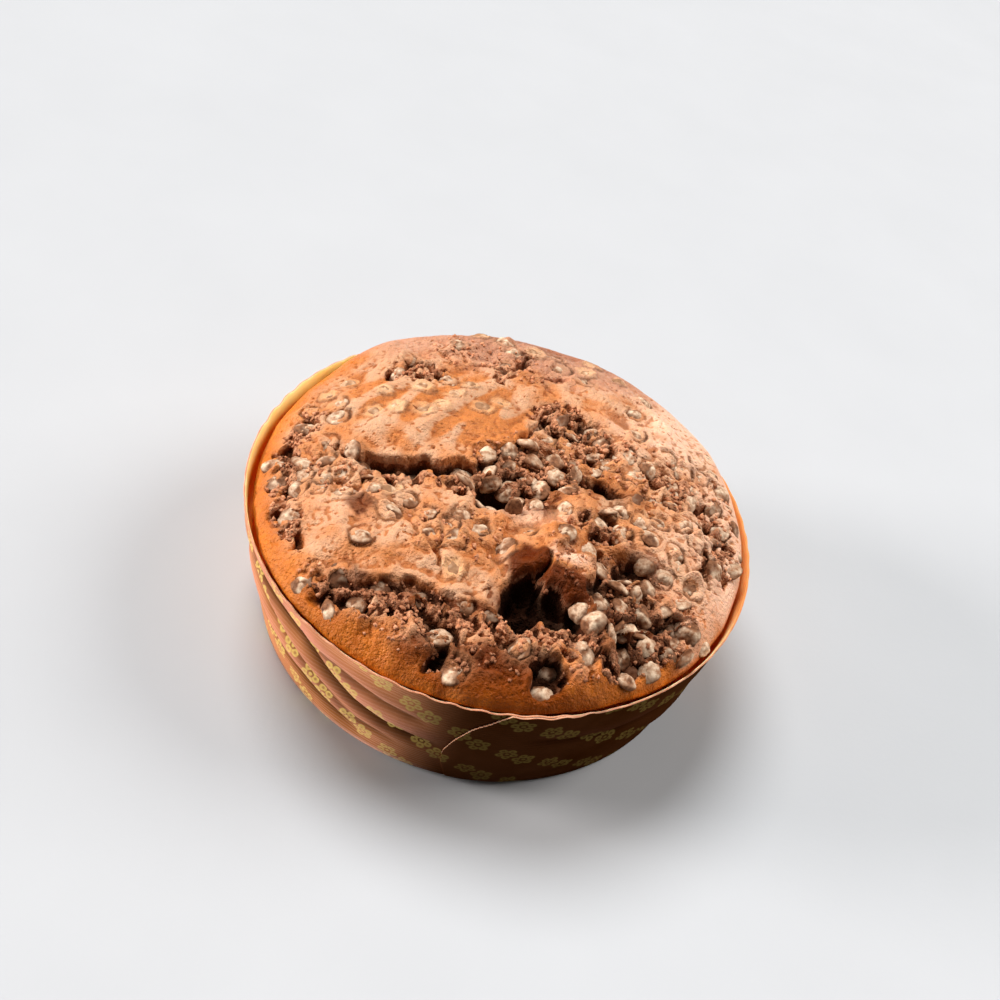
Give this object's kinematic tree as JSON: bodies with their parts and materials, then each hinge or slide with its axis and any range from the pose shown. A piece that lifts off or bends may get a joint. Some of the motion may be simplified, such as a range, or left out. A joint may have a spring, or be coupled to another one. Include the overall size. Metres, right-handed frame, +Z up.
{
  "type": "chocolate chip cake in a paper case",
  "caption": "Round chocolate chip cake with a cracked, domed crust, still in the tapered paper case that it was baked in.",
  "frame": {"origin": "middle of the underside of the paper case, on the surface that it stands on", "axes": "+Z up through the middle of the round cake; -Y is the side that shows the overlap of the case's wall strip"},
  "size_m": [0.134, 0.134, 0.0566],
  "materials": {
    "cake": "baked crust, golden brown, dark and crumbly in its cracks",
    "case": "ribbed red-brown baking paper with small gold flowers, pale yellow inside",
    "chocolate": "satin milk-grey brown chocolate"
  },
  "bodies": {
    "root": {"cake": "cake", "paper_case": "case"}
  },
  "joints": []
}
